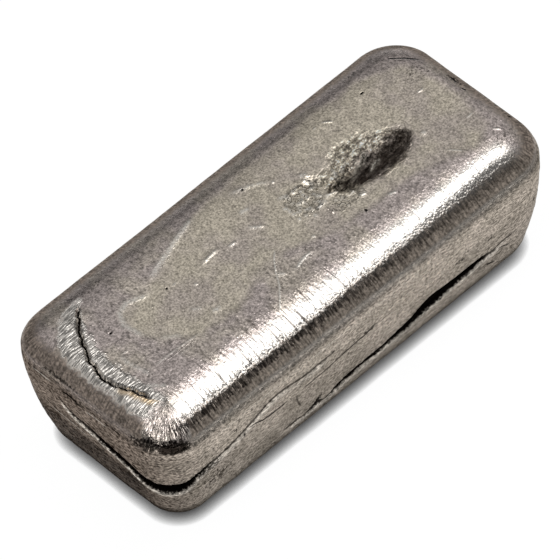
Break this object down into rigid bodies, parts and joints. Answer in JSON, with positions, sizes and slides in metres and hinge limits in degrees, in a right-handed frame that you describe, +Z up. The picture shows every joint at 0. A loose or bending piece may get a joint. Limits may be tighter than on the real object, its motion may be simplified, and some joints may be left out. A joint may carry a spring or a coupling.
{
  "type": "silver bar",
  "caption": "Small loaf-shaped silver ingot, cast in an open mould, with tapered walls, a rounded poured face, a shrinkage pit and cold-shut folds round the wall.",
  "frame": {"origin": "middle of the base, where the bar rests, at the centre of its length and width", "axes": "+X along the bar, away from the end with the crescent crack; +Y across it, towards the long wall without folds; +Z up, towards the poured face"},
  "size_m": [0.0636, 0.028, 0.0195],
  "materials": {
    "cast_silver": "as-cast silver, dull and grainy, brighter on the poured rim"
  },
  "bodies": {
    "root": {"bar": "cast_silver"}
  },
  "joints": []
}
